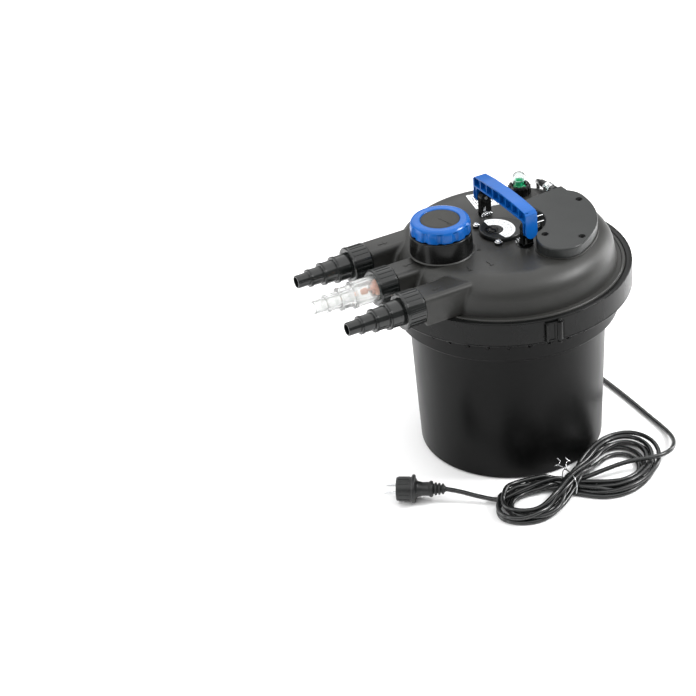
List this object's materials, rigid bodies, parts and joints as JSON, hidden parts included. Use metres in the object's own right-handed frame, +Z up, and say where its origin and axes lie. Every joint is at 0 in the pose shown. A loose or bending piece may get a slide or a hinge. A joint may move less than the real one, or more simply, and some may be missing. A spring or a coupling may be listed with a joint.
{
  "type": "pond pressure filter",
  "caption": "Bucket-shaped pond pressure filter with clamp band, stepped hose tails, selector knob, squeeze handle, UV head and mains cord.",
  "frame": {"origin": "centre of the bucket's foot, on the surface it stands on", "axes": "+Z up; the three hose tails point along -X; the carrying handle spans Y"},
  "size_m": [0.5191, 0.4368, 0.421],
  "materials": {
    "gloss_black": "satin gloss moulded",
    "charcoal": "fine grain moulded",
    "slate": "smooth satin moulded",
    "grey_black": "semi gloss moulded",
    "blue": "satin moulded",
    "inlay": "fine grain",
    "clear": "clear",
    "white": "printed",
    "green": "gloss",
    "red": "gloss",
    "steel": "bright",
    "rubber": "matt",
    "screw_black": "matt black",
    "foam_blue": "open-cell foam",
    "foam_red": "open-cell foam",
    "foam_dark": "open-cell foam"
  },
  "bodies": {
    "root": {"bucket": "gloss_black", "lid_seal": "rubber", "cord_lower": "rubber", "cord_to_plug": "rubber", "cord_hank": "rubber", "wire_tie": "steel", "plug_body": "rubber", "plug_pins": "steel"},
    "latch": {"latch_lever": "gloss_black"},
    "selector": {"selector_knob": "blue", "selector_inlay": "inlay", "selector_shaft": "steel", "valve_rotor": "gloss_black"},
    "squeeze": {"left_post": "slate", "right_post": "slate", "pull_rods": "steel", "squeeze_plate": "gloss_black"},
    "handle": {"handle": "blue", "handle_pins": "steel"},
    "outlet_nut": {"outlet_nut": "grey_black"},
    "clear_nut": {"clear_nut": "grey_black"},
    "inlet_nut": {"inlet_nut": "grey_black"},
    "pointer": {"dial_pointer": "slate"},
    "float": {"flow_float": "red"},
    "lid": {"ballast": "steel", "catch_springs": "steel", "clamp_band": "gloss_black", "clear_tail": "clear", "cord_upper": "rubber", "core_tube": "gloss_black", "cover_screws": "screw_black", "dial_plate": "slate", "dial_scale": "white", "dial_screws": "steel", "foam_ring_1": "foam_blue", "foam_ring_2": "foam_red", "foam_ring_3": "foam_blue", "foam_ring_4": "foam_dark", "foam_stop": "gloss_black", "gland_body": "rubber", "gland_nut": "steel", "inlet_tail": "grey_black", "lamp_socket": "grey_black", "latch_pin": "steel", "lid": "charcoal", "outlet_tail": "grey_black", "port_gaskets": "rubber", "quartz_sleeve": "clear", "rod_seals": "rubber", "selector_turret": "charcoal", "shaft_seal": "rubber", "sight_cap": "slate", "sight_glass": "clear", "sight_insert": "green", "sleeve_nut": "grey_black", "sleeve_seal": "rubber", "strain_relief": "rubber", "type_plate": "white", "uv_cover": "slate", "uvc_lamp": "clear"}
  },
  "joints": [
    {"name": "lid_lift", "type": "slide", "parent": "root", "child": "lid", "axis": [0, 0, 1], "range_m": [0, 0.3]},
    {"name": "latch_open", "type": "hinge", "parent": "lid", "child": "latch", "pos_m": [-0.02551, -0.19077, 0.286], "axis": [0, 0, 1], "range_deg": [0, 100]},
    {"name": "selector_turn", "type": "hinge", "parent": "lid", "child": "selector", "pos_m": [-0.107, 0, 0.39], "axis": [0, 0, 1], "range_deg": [-90, 90]},
    {"name": "squeeze_pull", "type": "slide", "parent": "lid", "child": "squeeze", "axis": [0, 0, 1], "range_m": [0, 0.05], "deforming": ["foam_ring_1", "foam_ring_2", "foam_ring_3", "foam_ring_4"]},
    {"name": "handle_fold", "type": "hinge", "parent": "squeeze", "child": "handle", "pos_m": [0.003, 0, 0.384], "axis": [0, -1, 0], "range_deg": [0, 88]},
    {"name": "outlet_nut_spin", "type": "hinge", "parent": "lid", "child": "outlet_nut", "pos_m": [-0.208, -0.0805, 0.3295], "axis": [-1, 0, 0], "continuous": true},
    {"name": "clear_nut_spin", "type": "hinge", "parent": "lid", "child": "clear_nut", "pos_m": [-0.208, 0, 0.3295], "axis": [-1, 0, 0], "continuous": true},
    {"name": "inlet_nut_spin", "type": "hinge", "parent": "lid", "child": "inlet_nut", "pos_m": [-0.208, 0.0805, 0.3295], "axis": [-1, 0, 0], "continuous": true},
    {"name": "pointer_swing", "type": "hinge", "parent": "lid", "child": "pointer", "pos_m": [-0.02, -0.0035, 0.362], "axis": [0, 0, 1], "range_deg": [-170, 10]},
    {"name": "float_slide", "type": "slide", "parent": "lid", "child": "float", "axis": [-1, 0, 0], "range_m": [0, 0.012]}
  ]
}
